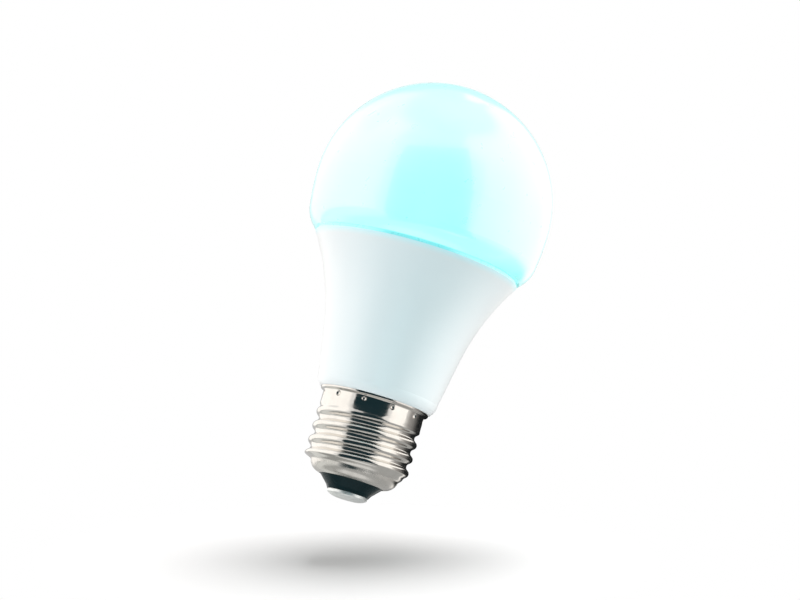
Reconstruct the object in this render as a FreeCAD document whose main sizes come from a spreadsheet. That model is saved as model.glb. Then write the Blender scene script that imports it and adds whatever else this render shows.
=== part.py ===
import FreeCAD, Part
import math
import os

import Sketcher

# A60 smart light bulb with an E27 screw cap, in millimetres.
# +Z is the bulb's axis, cap down and dome up. The origin is the middle of the centre contact's
# flat face, the lowest point. -Y is the front.

SIZES = [
    # the silhouette of the white shells
    ("dome_radius", 30.0, "radius of the diffuser's sphere, which makes the widest diameter 60"),
    ("dome_centre", 77.4, "height of the sphere's centre, so the top is at 107.4"),
    ("dome_side_radius", 60.0, "arc that draws the dome in below its widest circle"),
    ("dome_side_foot", 67.9, "height where that arc ends"),
    ("dome_corner_radius", 7.6, "rounded lower corner of the dome"),
    ("dome_wall", 1.3, "moulded polycarbonate"),
    ("seam_height", 62.3, "top face of the housing's rim"),
    ("seam_gap", 0.85, "bead of sealant between the rim and the dome"),
    ("seam_recess", 0.25, "bead behind the housing's edge"),
    ("flank_foot_radius", 15.3, "housing radius at the top of its lower rounding"),
    ("flank_foot", 28.2, "height of that circle"),
    ("flank_knee_radius", 17.4, "housing radius where the straight flank begins to flare"),
    ("flank_knee", 40.0, "height of that circle"),
    ("flare_radius", 62.0, "concave flare from the knee to the seam"),
    ("housing_wall", 1.25, "moulded housing"),
    ("housing_base", 25.4, "underside of the housing, on the cap's rim"),
    ("housing_base_radius", 13.9, "radius of that underside"),
    ("housing_base_arc", 3.4, "rounding from the underside to the flank"),
    ("housing_shoulder", 0.6, "inner shoulder, below the foot of the flank"),
    ("mouth_radius", 22.3, "bore of the housing's mouth"),
    ("mouth_depth", 4.1, "depth of that bore below the rim"),
    # the housing's neck inside the cap
    ("collar_radius", 12.0, "part of the neck under the cap's crimps"),
    ("collar_foot", 22.2, "lower face of the collar"),
    ("neck_radius", 11.5, "part of the neck inside the thread"),
    ("neck_foot", 9.6, "lower end of the neck"),
    ("neck_bore", 10.3, "inside of the neck"),
    ("wire_groove_width", 0.9, "groove for the neutral wire"),
    ("wire_groove_depth", 0.6, "depth of that groove"),
    ("wire_groove_top", 18.0, "height where the groove ends"),
    # the cap
    ("cap_wall", 0.3, "nickel-plated sheet"),
    ("cap_hole_radius", 8.2, "hole in the cap's bottom"),
    ("cap_hole_height", 4.6, "height of the hole's edge"),
    ("cap_bowl_radius", 11.15, "top of the cap's rounded bottom"),
    ("cap_bowl_top", 7.3, "height of that circle"),
    ("cap_bowl_foot_inset", 1.75, "where the bowl's cone ends, inwards from its top"),
    ("cap_bowl_foot_rise", 0.4, "height of that circle above the hole"),
    ("cap_bowl_middle_inset", 0.6, "middle of the bowl's arc, inwards from its top"),
    ("cap_bowl_middle_rise", 1.35, "height of that circle above the hole"),
    ("cap_band_radius", 12.9, "plain band above the thread"),
    ("cap_band_foot", 19.4, "height where the band begins"),
    ("cap_band_top", 24.45, "height where the rim begins to flare"),
    ("cap_rim_radius", 13.8, "flared rim"),
    ("cap_rim_foot", 25.05, "height where the flare ends"),
    ("cap_rim_top", 25.35, "edge of the rim"),
    ("cap_flare_bow", 0.07, "bow of the two arcs that make the flare"),
    ("thread_crest", 13.15, "E27 crest radius"),
    ("thread_pitch", 3.629, "E27 pitch, seven threads an inch"),
    ("thread_round", 1.025, "E27 profile radius, at crest and root"),
    ("thread_start", 8.3, "height of the lowest crest on the -X side"),
    ("thread_rise_foot", 7.3, "height where the thread begins to swell"),
    ("thread_rise_top", 8.5, "height where it is full"),
    ("thread_fade_foot", 19.6, "height where it begins to fade"),
    ("thread_fade_top", 21.4, "height where it is gone"),
    ("crimp_count", 11, "punched dents that lock the cap to the housing"),
    ("crimp_height", 23.7, "height of the dents"),
    ("crimp_punch_radius", 0.8, "ball end of the punch"),
    ("crimp_depth", 0.45, "depth of each dent"),
    ("crimp_turn", -11.9, "angle of one dent from the front, in degrees"),
    ("stop_dent_height", 6.65, "height of the dent that stops the insulator turning"),
    ("stop_dent_radius", 10.95, "distance of that dent from the axis"),
    ("stop_dent_turn", -8, "angle of that dent from +X, in degrees"),
    ("stop_dent_punch", 0.42, "ball end of its punch"),
    # the cap's insulator and contact
    ("insulator_seat", 1.5, "underside of the insulator's boss"),
    ("insulator_boss_radius", 5.25, "radius of the boss"),
    ("insulator_step", 2.4, "height where the cone begins"),
    ("insulator_cone_radius", 5.8, "foot of the cone"),
    ("insulator_neck_radius", 8.0, "neck in the cap's hole"),
    ("insulator_neck_foot", 4.65, "height where the cone meets the neck"),
    ("insulator_flange", 5.55, "underside of the flange inside the cap"),
    ("insulator_flange_radius", 8.9, "radius of that flange"),
    ("insulator_top", 7.0, "top of the insulator"),
    ("insulator_bevel", 0.5, "bevel of the flange"),
    ("contact_radius", 5.05, "head of the centre contact"),
    ("contact_flat", 2.6, "flat middle of the contact's face"),
    ("contact_edge", 0.85, "height where the domed face meets the head's side"),
    ("contact_dome", 3.95, "arc from the flat middle to the head's side"),
    ("shank_radius", 1.9, "hollow shank through the insulator"),
    ("shank_top", 7.6, "top of the shank"),
    ("shank_collar", 2.6, "radius of the rolled collar that holds the contact"),
    ("shank_collar_bevel", 0.3, "bevel of that collar"),
    ("shank_bore", 0.9, "bore that holds the live lead"),
    ("shank_floor", 1.3, "blind end of that bore"),
    # the aluminium cup and the light engine
    ("cup_gap", 0.05, "clearance between the housing and the cup"),
    ("cup_wall", 0.9, "drawn aluminium"),
    ("cup_foot", 29.0, "lower edge of the cup"),
    ("ledge_height", 57.6, "top face of the ledge that carries the light board"),
    ("ledge_radius", 16.9, "inner edge of the ledge"),
    ("ledge_rim_radius", 21.7, "outer edge of the ledge"),
    ("pad_thickness", 0.2, "thermal pad"),
    ("pad_radius", 20.4, "outer edge of the pad"),
    ("light_board_radius", 20.6, "aluminium-core board"),
    ("light_board_thickness", 1.2, "same board"),
    ("board_screw_circle", 18.4, "distance of the board's screws from the axis"),
    ("board_screw_count", 3, "M2 screws"),
    ("board_screw_turn", 15, "angle of the first screw from +X, in degrees"),
    ("screw_thread_radius", 0.98, "M2"),
    ("screw_hole_radius", 1.15, "clearance hole"),
    ("screw_tap_radius", 1.0, "hole in the ledge"),
    ("screw_head_radius", 1.9, "pan head"),
    ("screw_head_height", 1.2, "pan head"),
    ("screw_slot", 0.5, "width and depth of the head's slot"),
    ("screw_length", 4.0, "under the head"),
    ("white_count", 12, "white diodes"),
    ("white_circle", 16.0, "distance from the axis"),
    ("white_depth", 2.8, "along the radius"),
    ("white_width", 3.5, "across the radius"),
    ("white_height", 0.8, "above the board"),
    ("colour_count", 6, "red, green and blue diodes"),
    ("colour_circle", 10.6, "distance from the axis"),
    ("colour_side", 3.5, "square package"),
    ("colour_height", 1.1, "above the board"),
    ("colour_turn", 30, "angle of the first one from +X, in degrees"),
    ("spigot_gap", 0.2, "clearance of the dome's spigot in the mouth"),
    ("spigot_wall", 1.2, "dome's spigot"),
    ("spigot_foot", 58.2, "lower edge of the spigot"),
    # the driver
    ("driver_half_width", 11.5, "half the driver board's width above the neck"),
    ("driver_neck_half_width", 8.6, "half its width inside the neck"),
    ("driver_foot", 12.5, "lower edge of the driver board"),
    ("driver_shoulder", 30.5, "height where it widens"),
    ("driver_top", 56.2, "upper edge"),
    ("driver_thickness", 1.2, "glass-fibre board"),
    ("sleeve_radius", 12.7, "insulating film around the driver"),
    ("sleeve_wall", 0.25, "same film"),
    ("sleeve_foot", 31.0, "lower edge of the film"),
    ("radio_board_half_width", 6.0, "half the radio board's width"),
    ("radio_board_foot", 45.0, "lower edge"),
    ("radio_board_top", 66.5, "upper edge, above the light board"),
    ("radio_board_front", 1.9, "distance of the radio board from the axis"),
    ("radio_board_thickness", 0.8, "same board"),
    ("radio_slot_gap", 0.4, "clearance in front of it and behind it in the light board's slot"),
    ("radio_slot_side_gap", 0.5, "clearance at its sides in that slot"),
    ("lead_radius", 0.3, "tinned copper lead of the live side"),
    ("live_turn_drop", 2.1, "its elbow below the resistor"),
    ("live_turn_rise", 1.4, "its elbow above the resistor"),
    ("live_end", 0.4, "its end above the floor of the contact's bore"),
    ("neutral_lead_radius", 0.28, "bare wire trapped between the neck and the cap"),
    ("neutral_solder_rise", 2.5, "its joint above the driver board's lower edge"),
    ("neutral_solder_inset", 2.1, "its joint inside the board's narrow edge"),
    ("neutral_stand_off", 1.8, "its run behind the board"),
    ("neutral_turn_drop", 0.8, "its elbow below the neck"),
    ("neutral_end", 0.6, "its end below the top of the groove"),
    ("capacitor_lead_radius", 0.25, "leads of the electrolytic capacitors"),
    ("capacitor_lead_spread", 0.45, "their distance from the middle, as a share of the radius"),
    ("capacitor_lead_rise", 1.0, "their elbows above the can"),
    ("capacitor_crown", 0.9, "height of the can above its rolled groove"),
    ("capacitor_groove", 0.6, "height of that groove"),
    ("capacitor_groove_depth", 0.35, "depth of that groove"),
    # the plug connection between the driver and the light board
    ("pin_side", 0.6, "square pins"),
    ("pin_step", 2.0, "distance from pin to pin"),
    ("pin_row", 1.95, "distance of the row in front of the axis"),
    ("pin_tail", 0.8, "pins below the strip"),
    ("pin_play", 0.2, "clearance of the pins in the socket"),
    ("pin_slot_width", 12.0, "slot for the pins in the light board"),
    ("pin_slot_depth", 1.6, "same slot"),
    ("strip_width", 11.0, "plastic strip that holds the pins"),
    ("strip_depth", 2.5, "same strip"),
    ("strip_drop", 3.6, "its lower face below the driver board's top"),
    ("socket_width", 11.2, "socket on the light board"),
    ("socket_depth", 2.6, "same socket"),
    ("socket_height", 2.4, "same socket"),
    # wound parts
    ("choke_across", 6.6, "place of the choke, to the right of the axis"),
    ("choke_ahead", 4.6, "place of the choke, in front of the axis"),
    ("choke_foot", 45.2, "lower end of the choke"),
    ("choke_radius", 3.2, "flanges of the ferrite drum"),
    ("choke_waist", 1.4, "waist of the drum"),
    ("choke_flange", 1.0, "thickness of a flange"),
    ("choke_window", 5.0, "height of the winding"),
    ("choke_copper", 2.8, "outside of the winding"),
    ("core_across", 5.0, "place of the transformer, to the left of the axis"),
    ("core_ahead", 4.7, "place of the transformer, in front of the axis"),
    ("core_foot", 33.0, "lower end of the core"),
    ("core_width", 9.0, "E-shaped ferrite halves, put together"),
    ("core_depth", 4.8, "same core"),
    ("core_height", 10.6, "same core"),
    ("core_leg", 3.6, "width of the middle leg"),
    ("core_window", 2.15, "width of a window"),
    ("core_yoke", 1.8, "height of a yoke"),
    ("bobbin_wall", 0.5, "moulded bobbin's tube"),
    ("bobbin_flange", 0.7, "thickness of its flanges"),
    ("bobbin_half_width", 3.9, "half the width of its flanges"),
    ("bobbin_half_depth", 3.6, "half the depth of its flanges"),
    ("winding_margin", 0.25, "winding inside the flanges' edge"),
    # mains parts
    ("varistor_radius", 3.6, "coated disc"),
    ("varistor_thickness", 3.0, "same disc"),
    ("varistor_height", 25.5, "height of its centre"),
    ("varistor_stand_off", 1.0, "gap between the disc and the board"),
    ("varistor_lead_spread", 0.55, "place of its leads, as a share of the radius"),
    ("varistor_lead_drop", 0.6, "same, below its centre"),
    ("varistor_lead_end", 0.6, "leads inside the disc"),
    ("resistor_radius", 1.6, "fusible resistor"),
    ("resistor_length", 8.4, "same resistor"),
    ("resistor_behind", 5.6, "distance behind the axis"),
    ("resistor_foot", 11.5, "lower end"),
    ("resistor_sleeve_wall", 0.4, "shrunk sleeve"),
    ("resistor_sleeve_end", 0.6, "sleeve past each end"),
    # the radio
    ("shield_foot", 46.6, "lower edge of the shield can"),
    ("shield_half_width", 5.0, "half its width"),
    ("shield_height", 9.0, "same can"),
    ("shield_depth", 2.0, "same can"),
    ("shield_wall", 0.25, "same can"),
    ("radio_chip_side", 5.0, "square chip in the can"),
    ("radio_chip_depth", 0.85, "same chip"),
    ("radio_chip_rise", 1.8, "same chip, above the can's lower edge"),
    ("radio_pin_side", 0.5, "pins between the radio and the driver board"),
    ("radio_pin_rise", 0.4, "pins above the radio board's lower edge"),
    ("antenna_width", 9.0, "printed antenna"),
    ("antenna_track", 0.4, "width of its track"),
    ("antenna_copper", 0.07, "thickness of its track"),
    ("antenna_step", 1.1, "distance from run to run"),
    ("antenna_clear", 1.6, "its lowest run above the light board"),
    # chips
    ("chip_length", 2.0, "chip resistors and capacitors"),
    ("chip_width", 1.25, "same chips"),
    ("chip_resistor_depth", 0.5, "from the board"),
    ("chip_capacitor_depth", 1.0, "from the board"),
    ("chip_resistor_step", 2.3, "from chip to chip in a column"),
    ("chip_capacitor_step", 2.8, "from chip to chip in a column"),
]

# parts soldered flat on the driver board: left edge, foot, width, depth from the board, height
BACK_PARTS = {
    "film_capacitor": (-6.2, 33.0, 12.4, 5.2, 7.6),
    "bridge_rectifier": (3.2, 15.5, 4.4, 2.4, 3.8),
    "driver_chip": (-9.4, 40.9, 4.9, 1.5, 3.9),
    "colour_chip": (4.5, 40.9, 4.9, 1.5, 3.9),
}
FRONT_PARTS = {
    "regulator_chip": (-10.4, 47.0, 2.9, 1.1, 1.6),
    "flyback_diode": (-6.6, 46.6, 2.6, 2.2, 4.4),
}
# upright electrolytic capacitors: centre to the right of the axis, foot, radius, height, gap
CANS = {
    "input_capacitor": (0.0, 14.0, 4.0, 12.0, 0.3),
    "output_capacitor": (6.2, 31.5, 3.9, 11.0, 0.4),
}
# columns of chips: place to the right of the axis, height of the lowest chip
RESISTOR_COLUMNS = {
    "resistors_lower_left": (-9.6, 33.5),
    "resistors_lower_right": (8.6, 33.5),
    "resistors_upper_left": (-9.6, 49.0),
    "resistors_upper_right": (8.6, 49.0),
}
CAPACITOR_COLUMNS = {
    "capacitors_left": (-1.8, 47.4),
    "capacitors_right": (1.2, 47.4),
}
PART_SIZES = ("left", "foot", "width", "depth", "height")
CAN_SIZES = ("across", "foot", "radius", "height", "gap")
COLUMN_SIZES = ("across", "first")
TABLES = (
    (BACK_PARTS, PART_SIZES),
    (FRONT_PARTS, PART_SIZES),
    (CANS, CAN_SIZES),
    (RESISTOR_COLUMNS, COLUMN_SIZES),
    (CAPACITOR_COLUMNS, COLUMN_SIZES),
)

doc = FreeCAD.newDocument("smart_bulb")
sheet = doc.addObject("Spreadsheet::Sheet", "sizes")


class Size:
    """A size: its number, and the expression that reads it from the sheet."""

    def __init__(self, number, text=None):
        self.number = float(number)
        self.text = text if text is not None else repr(float(number))

    def _with(self, other, sign, number):
        other = as_size(other)
        return Size(number(self.number, other.number), f"({self.text} {sign} {other.text})")

    def __add__(self, other):
        return self._with(other, "+", lambda a, b: a + b)

    def __sub__(self, other):
        return self._with(other, "-", lambda a, b: a - b)

    def __mul__(self, other):
        return self._with(other, "*", lambda a, b: a * b)

    def __truediv__(self, other):
        return self._with(other, "/", lambda a, b: a / b)

    def __neg__(self):
        return Size(-self.number, f"(0 - {self.text})")


def as_size(value):
    return value if isinstance(value, Size) else Size(value)


def root(size):
    return Size(math.sqrt(size.number), f"sqrt({size.text})")


def length(x, y):
    return root(x * x + y * y)


class Sizes:
    """The sheet's cells by their aliases."""


def all_sizes():
    rows = list(SIZES)
    for table, names in TABLES:
        for node, numbers in table.items():
            rows += [(f"{node}_{name}", number, name) for name, number in zip(names, numbers)]
    return rows


def fill_sheet():
    for row, (alias, number, note) in enumerate(all_sizes(), start=1):
        sheet.set(f"A{row}", alias)
        sheet.set(f"B{row}", str(number))
        sheet.set(f"C{row}", note)
        sheet.setAlias(f"B{row}", alias)
        setattr(Sizes, alias, Size(number, f"sizes.{alias}"))
    doc.recompute()


fill_sheet()
d = Sizes


def sizes_of(node, names):
    """A component's own sizes, from their cells."""
    return [getattr(d, f"{node}_{name}") for name in names]


# ---------------------------------------------------------------- ways of making a piece


def bind(thing, **sizes):
    """Bind each property to its size. Place holds the three of the placement's position."""
    for name, size in sizes.items():
        if name == "Place":
            for letter, part in zip("xyz", size):
                thing.setExpression(f"Placement.Base.{letter}", as_size(part).text)
        else:
            thing.setExpression(name, as_size(size).text)
    return thing


def box(label, low, size):
    """A block from its lowest corner and its three sizes."""
    block = doc.addObject("Part::Box", label)
    return bind(block, Length=size[0], Width=size[1], Height=size[2], Place=low)


def cylinder(label, foot, radius, height):
    """An upright rod."""
    return bind(doc.addObject("Part::Cylinder", label), Radius=radius, Height=height, Place=foot)


def rod_along(label, foot, radius, height, axis):
    """A rod that lies along X or Y."""
    turn = {"X": FreeCAD.Vector(0, 1, 0), "Y": FreeCAD.Vector(-1, 0, 0)}[axis]
    rod = doc.addObject("Part::Cylinder", label)
    rod.Placement = FreeCAD.Placement(FreeCAD.Vector(), FreeCAD.Rotation(turn, 90))
    return bind(rod, Radius=radius, Height=height, Place=foot)


def joined(label, pieces):
    fuse = doc.addObject("Part::MultiFuse", label)
    fuse.Shapes = pieces
    return fuse


def cut(label, base, tools):
    taken = doc.addObject("Part::Cut", label)
    taken.Base = base
    taken.Tool = tools[0] if len(tools) == 1 else joined(label + "_tools", tools)
    return taken


def group(label, pieces):
    """Separate solids that share one node."""
    compound = doc.addObject("Part::Compound", label)
    compound.Links = pieces
    return compound


def on_circle(radius, degrees):
    """The place at an angle counted from +X."""
    angle = math.radians(degrees)
    return radius * math.cos(angle), radius * math.sin(angle)


def origin_feature(body, role):
    return [part for part in body.Origin.OriginFeatures if part.Role == role][0]


def arc_middle(start, end, radius, side):
    """The middle of the arc from start to end that bulges to its left (1) or its right (-1)."""
    across, up = end[0] - start[0], end[1] - start[1]
    chord = math.hypot(across, up)
    bulge = radius - math.sqrt(radius * radius - chord * chord / 4)
    middle_x = (start[0] + end[0]) / 2 - side * up / chord * bulge
    middle_y = (start[1] + end[1]) / 2 + side * across / chord * bulge
    return FreeCAD.Vector(middle_x, middle_y, 0)


def draw_outline(sketch, corners):
    """Draw a closed outline and bind every corner and arc to its size.

    A corner is (x, y), with a line to the next one, or (x, y, radius, side), with an arc.
    """
    spots = [(as_size(corner[0]), as_size(corner[1])) for corner in corners]
    for index, corner in enumerate(corners):
        here = spots[index]
        there = spots[(index + 1) % len(spots)]
        start = FreeCAD.Vector(here[0].number, here[1].number, 0)
        end = FreeCAD.Vector(there[0].number, there[1].number, 0)
        if len(corner) == 2:
            sketch.addGeometry(Part.LineSegment(start, end))
            continue
        middle = arc_middle(start, end, as_size(corner[2]).number, corner[3])
        sketch.addGeometry(Part.Arc(start, middle, end))
    last = len(corners) - 1
    ends = [2] * len(corners)
    starts = [1] * len(corners)
    for index, corner in enumerate(corners):
        # an arc is always stored anticlockwise, so one drawn clockwise has its ends exchanged
        if len(corner) == 4 and corner[3] == 1:
            starts[index], ends[index] = 2, 1
    for index in range(len(corners)):
        before = last if index == 0 else index - 1
        joint = Sketcher.Constraint("Coincident", before, ends[before], index, starts[index])
        sketch.addConstraint(joint)
    for index, (across, up) in enumerate(spots):
        for kind, size, axis in (("DistanceX", across, -2), ("DistanceY", up, -1)):
            if size.number == 0:
                fixed = Sketcher.Constraint("PointOnObject", index, starts[index], axis)
                sketch.addConstraint(fixed)
                continue
            fixed = Sketcher.Constraint(kind, -1, 1, index, starts[index], size.number)
            number = sketch.addConstraint(fixed)
            sketch.setExpression(f"Constraints[{number}]", size.text)
    for index, corner in enumerate(corners):
        if len(corner) == 4:
            radius = as_size(corner[2])
            number = sketch.addConstraint(Sketcher.Constraint("Radius", index, radius.number))
            sketch.setExpression(f"Constraints[{number}]", radius.text)


def sketch_on(body, role, name):
    sketch = body.newObject("Sketcher::SketchObject", name)
    sketch.AttachmentSupport = [(origin_feature(body, role), "")]
    sketch.MapMode = "FlatFace"
    return sketch


def turned(label, corners):
    """A piece turned about the bulb's axis from its half section (radius, height)."""
    body = doc.addObject("PartDesign::Body", label)
    doc.recompute()
    sketch = sketch_on(body, "XZ_Plane", label + "_section")
    draw_outline(sketch, corners)
    revolution = body.newObject("PartDesign::Revolution", label + "_turned")
    revolution.Profile = sketch
    revolution.ReferenceAxis = (sketch, ["V_Axis"])
    revolution.Angle = 360
    doc.recompute()
    return body


def solid_feature(label, shape):
    feature = doc.addObject("Part::Feature", label)
    feature.Shape = shape
    feature.Placement = FreeCAD.Placement()
    return feature


def bent_lead(label, points, radius):
    """A bare lead of straight runs with round elbows, through points given as sizes."""
    places = [FreeCAD.Vector(*(as_size(value).number for value in point)) for point in points]
    wide = as_size(radius).number
    shape = None
    for start, end in zip(places, places[1:]):
        run = end - start
        rod = Part.makeCylinder(wide, run.Length, start, run)
        shape = rod if shape is None else shape.fuse(rod)
    for elbow in places[1:-1]:
        shape = shape.fuse(Part.makeSphere(wide, elbow))
    return solid_feature(label, shape)


# ---------------------------------------------------------------- the white shells

PAST = 1.0  # how far a cutting block or rod reaches past what it cuts


def flank_offset(inset):
    """The flank moved inwards: its foot, its knee, and the centre and radius of its flare."""
    rise_x = d.flank_knee_radius - d.flank_foot_radius
    rise_z = d.flank_knee - d.flank_foot
    slope = length(rise_x, rise_z)
    out_x = rise_z / slope
    out_z = -(rise_x / slope)
    foot = (d.flank_foot_radius - out_x * inset, d.flank_foot - out_z * inset)
    knee = (d.flank_knee_radius - out_x * inset, d.flank_knee - out_z * inset)
    centre = (d.flank_knee_radius + out_x * d.flare_radius, d.flank_knee + out_z * d.flare_radius)
    return foot, knee, centre, d.flare_radius + inset


def flare_at(inset, height):
    """Radius of the flare, moved inwards, at a height above the knee."""
    centre, radius = flank_offset(inset)[2:]
    drop = as_size(height) - centre[1]
    return centre[0] - root(radius * radius - drop * drop)


def flank_at(inset, height):
    """Radius of the straight flank, moved inwards, at a height below the knee."""
    foot, knee = flank_offset(inset)[:2]
    share = (as_size(height) - foot[1]) / (knee[1] - foot[1])
    return foot[0] + (knee[0] - foot[0]) * share


def housing():
    """Outer housing with its flare, its mouth for the dome and its neck for the cap."""
    wall = d.housing_wall
    foot, knee = flank_offset(wall)[:2]
    flare = flank_offset(wall)[3]
    mouth_foot = d.seam_height - d.mouth_depth
    shoulder = d.flank_foot - d.housing_shoulder
    shell = turned(
        "housing_body",
        [
            (d.housing_base_radius, d.housing_base, d.housing_base_arc, -1),
            (d.flank_foot_radius, d.flank_foot),
            (d.flank_knee_radius, d.flank_knee, d.flare_radius, 1),
            (flare_at(0, d.seam_height), d.seam_height),
            (d.mouth_radius, d.seam_height),
            (d.mouth_radius, mouth_foot),
            (flare_at(wall, mouth_foot), mouth_foot, flare, -1),
            (knee[0], knee[1]),
            (foot[0], foot[1]),
            (d.neck_bore, shoulder),
            (d.neck_bore, d.neck_foot),
            (d.neck_radius, d.neck_foot),
            (d.neck_radius, d.collar_foot),
            (d.collar_radius, d.collar_foot),
            (d.collar_radius, d.housing_base),
        ],
    )
    groove = box(
        "wire_groove",
        (-d.neck_radius - PAST, -d.wire_groove_width / 2, d.neck_foot - PAST),
        (
            d.wire_groove_depth + PAST,
            d.wire_groove_width,
            d.wire_groove_top - d.neck_foot + PAST,
        ),
    )
    return cut("housing_shell", shell, [groove])


def dome_section(inset):
    """The dome's outline moved inwards: widest point, foot of its side, corner centre and arc."""
    side_x = d.dome_radius - d.dome_side_radius
    side_rise = d.dome_centre - d.dome_side_foot
    foot_x = side_x + root(d.dome_side_radius * d.dome_side_radius - side_rise * side_rise)
    share = d.dome_corner_radius / d.dome_side_radius
    corner_x = foot_x - (foot_x - side_x) * share
    corner_z = d.dome_side_foot + side_rise * share
    inner = (d.dome_side_radius - inset) / d.dome_side_radius
    foot = (side_x + (foot_x - side_x) * inner, d.dome_centre - side_rise * inner)
    return foot, (corner_x, corner_z), d.dome_corner_radius - inset


def corner_at(inset, height):
    """Radius of the dome's lower corner, moved inwards, at a height."""
    centre, radius = dome_section(inset)[1:]
    drop = centre[1] - height
    return centre[0] + root(radius * radius - drop * drop)


def diffuser():
    """Milky dome, one wall thick, with a flat foot and a spigot for the housing's mouth."""
    foot_face = d.seam_height + d.seam_gap
    inner_face = foot_face + d.dome_wall
    spigot_outside = d.mouth_radius - d.spigot_gap
    spigot_inside = spigot_outside - d.spigot_wall
    foot, _, corner = dome_section(as_size(0))
    inner_foot, _, inner_corner = dome_section(d.dome_wall)
    return turned(
        "diffuser_dome",
        [
            (0, d.dome_centre + d.dome_radius, d.dome_radius, 1),
            (d.dome_radius, d.dome_centre, d.dome_side_radius, 1),
            (foot[0], foot[1], corner, 1),
            (corner_at(as_size(0), foot_face), foot_face),
            (spigot_outside, foot_face),
            (spigot_outside, d.spigot_foot),
            (spigot_inside, d.spigot_foot),
            (spigot_inside, inner_face),
            (corner_at(d.dome_wall, inner_face), inner_face, inner_corner, -1),
            (inner_foot[0], inner_foot[1], d.dome_side_radius - d.dome_wall, -1),
            (d.dome_radius - d.dome_wall, d.dome_centre, d.dome_radius - d.dome_wall, -1),
            (0, d.dome_centre + d.dome_radius - d.dome_wall),
        ],
    )


def seal():
    """Flat bead of silicone between the housing's rim and the dome's foot."""
    outside = flare_at(0, d.seam_height) - d.seam_recess
    return turned(
        "dome_seal",
        [
            (d.mouth_radius, d.seam_height),
            (outside, d.seam_height),
            (outside, d.seam_height + d.seam_gap),
            (d.mouth_radius, d.seam_height + d.seam_gap),
        ],
    )


# ---------------------------------------------------------------- the cap

TURN_STEPS = 60
PROFILE_STEPS = 112


def smooth_step(value, low, high):
    share = min(1.0, max(0.0, (value - low) / (high - low)))
    return share * share * (3 - 2 * share)


def thread_height(turns):
    """E27 profile: equal arcs at crest and root, as a height about the middle radius."""
    pitch, round_radius = d.thread_pitch.number, d.thread_round.number
    joint = math.sqrt(round_radius**2 - (pitch / 4) ** 2)
    along = abs((turns + 0.5) % 1.0 - 0.5) * pitch
    if along <= pitch / 4:
        return math.sqrt(round_radius**2 - along**2) - joint
    return joint - math.sqrt(round_radius**2 - (pitch / 2 - along) ** 2)


def cap_profile():
    """The cap's half section without its thread, from the hole's edge to the rim's edge."""

    def spot(radius, height):
        return FreeCAD.Vector(radius, 0, height)

    hole = spot(d.cap_hole_radius.number, d.cap_hole_height.number)
    bowl_top = spot(d.cap_bowl_radius.number, d.cap_bowl_top.number)
    bowl_foot = spot(
        bowl_top.x - d.cap_bowl_foot_inset.number, hole.z + d.cap_bowl_foot_rise.number
    )
    bowl_middle = spot(
        bowl_top.x - d.cap_bowl_middle_inset.number, hole.z + d.cap_bowl_middle_rise.number
    )
    band_foot = spot(d.cap_band_radius.number, d.cap_band_foot.number)
    band_top = spot(d.cap_band_radius.number, d.cap_band_top.number)
    rim_foot = spot(d.cap_rim_radius.number, d.cap_rim_foot.number)
    rim_top = spot(d.cap_rim_radius.number, d.cap_rim_top.number)
    flare_middle = (band_top + rim_foot) * 0.5
    bow = d.cap_flare_bow.number
    hollow = spot(band_top.x + bow, (band_top.z + flare_middle.z) / 2)
    swell = spot(rim_foot.x - bow, (rim_foot.z + flare_middle.z) / 2)
    edges = [
        Part.makeLine(hole, bowl_foot),
        Part.Arc(bowl_foot, bowl_middle, bowl_top).toShape(),
        Part.makeLine(bowl_top, band_foot),
        Part.makeLine(band_foot, band_top),
        Part.Arc(band_top, hollow, flare_middle).toShape(),
        Part.Arc(flare_middle, swell, rim_foot).toShape(),
        Part.makeLine(rim_foot, rim_top),
    ]
    return Part.Wire(edges).discretize(Number=PROFILE_STEPS)


def threaded_section(profile, angle):
    """The section at one angle: the thread swells out of the plain profile and runs into it."""
    start = d.thread_start.number
    pitch = d.thread_pitch.number
    round_radius = d.thread_round.number
    half_depth = round_radius - math.sqrt(round_radius**2 - (pitch / 4) ** 2)
    middle = d.thread_crest.number - half_depth
    rise = (d.thread_rise_foot.number, d.thread_rise_top.number)
    fade = (d.thread_fade_foot.number, d.thread_fade_top.number)
    section = []
    for point in profile:
        share = smooth_step(point.z, *rise) * (1 - smooth_step(point.z, *fade))
        turns = (point.z - start) / pitch + 0.5 - angle / (2 * math.pi)
        radius = point.x * (1 - share) + share * (middle + thread_height(turns))
        section.append((radius, point.z))
    return section


def cap_skin(profile, depth):
    """A smooth closed surface through every section, moved inwards by depth."""
    columns = []
    for step in range(TURN_STEPS):
        angle = 2 * math.pi * step / TURN_STEPS
        section = threaded_section(profile, angle)
        column = []
        for index, (radius, height) in enumerate(section):
            before = section[max(0, index - 1)]
            after = section[min(len(section) - 1, index + 1)]
            out, up = after[0] - before[0], after[1] - before[1]
            size = math.hypot(out, up)
            inner_radius = radius - up / size * depth
            inner_height = height + out / size * depth
            column.append(
                FreeCAD.Vector(
                    inner_radius * math.cos(angle), inner_radius * math.sin(angle), inner_height
                )
            )
        columns.append(column)
    rows = len(profile)
    surface = Part.BSplineSurface()
    surface.buildFromPolesMultsKnots(
        columns,
        [1] * (TURN_STEPS + 1),
        [4] + [1] * (rows - 4) + [4],
        [float(knot) for knot in range(TURN_STEPS + 1)],
        [float(knot) for knot in range(rows - 2)],
        True,
        False,
        3,
        3,
    )
    return surface.toShape()


def end_circles(face):
    circles = [edge for edge in face.Edges if edge.isClosed()]
    return sorted(circles, key=lambda edge: edge.Vertexes[0].Z)


def dent(centre, radius, wall_shape):
    """A punched dent: the ball that is taken away, and the swelling that it leaves inside."""
    outer = Part.makeSphere(radius + d.cap_wall.number, centre)
    return Part.makeSphere(radius, centre), outer.common(wall_shape)


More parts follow.
